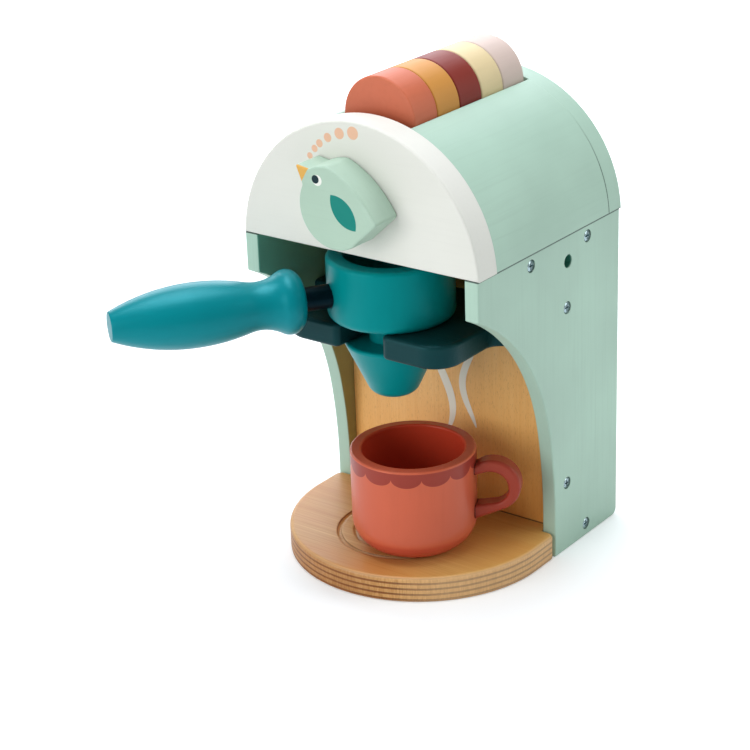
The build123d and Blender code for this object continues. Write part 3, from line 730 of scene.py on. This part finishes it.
def scallops(paint, base):
    """The band's lower edge is half an ellipse per scallop: its height is the cusps', minus the depth
    times the root of one minus u squared, where u runs from -1 to 1 across the scallop.

    The rim's top is darker than the wall and the bore is deeper in colour."""
    x, y, z = paint.axes(paint.place)
    across = paint.sum("SUBTRACT", x, cup_axis[0])
    along = paint.sum("SUBTRACT", y, cup_axis[1])
    first_cusp = scallop_turn - whole_steps_back * scallop_step
    angle = paint.sum("SUBTRACT", paint.sum("ARCTAN2", along, across), first_cusp)
    turned = paint.sum("DIVIDE", angle, scallop_step)
    u = paint.sum("MULTIPLY_ADD", paint.sum("FRACT", turned), 2.0, -1.0)
    bulge = paint.sum("SQRT", paint.sum("SUBTRACT", 1.0, paint.sum("MULTIPLY", u, u)))
    above = paint.sum("SUBTRACT", z, paint.sum("MULTIPLY_ADD", bulge, -scallop_depth, scallop_cusp))
    distance = paint.distance(x, y, cup_axis)
    base = paint.over(paint.ramp(distance, *rim_top_face), base, rim_top_red, most=0.9)
    base = paint.over(paint.ramp(distance, *bore_face), base, bore_red, most=0.85)
    band = paint.both(
        paint.ramp(above, -scallop_blur, scallop_blur),
        paint.ramp(distance, *outer_face),
        paint.ramp(z, *below_rim_round),
    )
    return paint.over(band, base, band_brown)


terracotta = painted(
    "terracotta_paint", chip=(206, 97, 68), grain=(240.0, 240.0, 26.0), roughness=0.36,
    specular=0.5, tint=(255, 190, 170), coat=0.15, edge=24, decorate=scallops,
)
give(terracotta, "cup_body")

glue_line_reach = (cup_outer + 0.0011, cup_outer + 0.0004)
glue_line_shade = colour(56, 12, 8)


def glued_edge(paint, base):
    """A dark line where handle and cup meet: there the distance to the cup's axis is hardly its radius."""
    x, y = paint.axes(paint.place)[:2]
    line = paint.ramp(paint.distance(x, y, cup_axis), *glue_line_reach)
    return paint.over(line, base, glue_line_shade, most=0.8)


brick = painted(
    "brick_paint", chip=(158, 58, 42), grain=(60.0, 60.0, 300.0), roughness=0.36,
    specular=0.5, tint=(255, 170, 150), coat=0.15, edge=24, decorate=glued_edge,
)
give(brick, "cup_handle")


# ---------------------------------------------------------------- coffee pods
# Five turned discs that stand on edge in the trough, each dipped in its own colour. Their grain runs
# from front to back, along the dowel that they are cut from.
pod_grain = (300.0, 30.0, 300.0)
pod_chips = {
    "coffee_pod_1": (204, 107, 75),
    "coffee_pod_2": (208, 143, 64),
    "coffee_pod_3": (132, 40, 28),
    "coffee_pod_4": (226, 204, 158),
    "coffee_pod_5": (212, 190, 180),
}
for name, chip in pod_chips.items():
    give(painted(name + "_paint", chip, pod_grain, roughness=0.45, specular=0.35), name)


# ---------------------------------------------------------------- steam on the back panel
# Two wisps of steam, printed in white on the back panel above the cup. Each is a flat ribbon that
# follows a waving line, swells low down and thins out towards the top.
steam_rise = 0.00012
steam_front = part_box("back_panel")[0].y - steam_rise
steam_base_z = 0.060
steam_height = 0.084
steam_places = (-0.0035, 0.0160)
steam_phases = (0.4, 2.3)
steam_scales = (1.0, 0.84)
steam_sway = 0.0066
steam_half_width = 0.0030
steam_least_half_width = 0.0001
steam_swell = 0.6
steam_low_width, steam_thinning = 1.2, 0.6
steam_rows = 81
steam_columns = 5
steam_white = (240, 236, 222)


def steam_ribbon(x0, phase, scale):
    """The middle waves sideways as a sine of the way up, from 0 to 1, while the height grows evenly.
    Half the width is a power of half a sine wave, which is 0 at both ends, times a factor that falls
    on the way up; it is laid off square to the middle's direction."""
    t = np.linspace(0.0, 1.0, steam_rows)
    middle_x = x0 + steam_sway * scale * np.sin(2 * np.pi * t + phase)
    middle_z = steam_base_z + steam_height * scale * t + steam_height * (1 - scale) / 2
    slope_x = np.gradient(middle_x, t)
    slope_z = np.gradient(middle_z, t)
    speed = np.hypot(slope_x, slope_z)
    swell = np.sin(np.pi * t) ** steam_swell * (steam_low_width - steam_thinning * t)
    half = steam_half_width * scale * swell + steam_least_half_width
    across = np.linspace(-1.0, 1.0, steam_columns)[:, None]
    grid_x = middle_x + across * half * slope_z / speed
    grid_z = middle_z - across * half * slope_x / speed
    return np.stack([grid_x, np.full_like(grid_x, steam_front), grid_z], axis=-1)


points = []
faces = []
for x0, phase, scale in zip(steam_places, steam_phases, steam_scales):
    ribbon = steam_ribbon(x0, phase, scale)
    rows, columns = ribbon.shape[:2]
    corner = len(points) * rows * columns + np.arange(rows * columns).reshape(rows, columns)
    quads = np.stack([corner[:-1, :-1], corner[1:, :-1], corner[1:, 1:], corner[:-1, 1:]], axis=-1)
    points.append(ribbon.reshape(-1, 3))
    faces.append(quads.reshape(-1, 4))
steam_mesh = bpy.data.meshes.new("steam_print")
steam_mesh.from_pydata(np.concatenate(points).tolist(), [], np.concatenate(faces).tolist())
steam = bpy.data.objects.new("steam_print", steam_mesh)
bpy.context.scene.collection.objects.link(steam)
white_print = painted("white_print", chip=steam_white, grain=(700.0, 700.0, 16.0), spread=0.02)
steam_mesh.materials.append(white_print)
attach(steam, "machine")
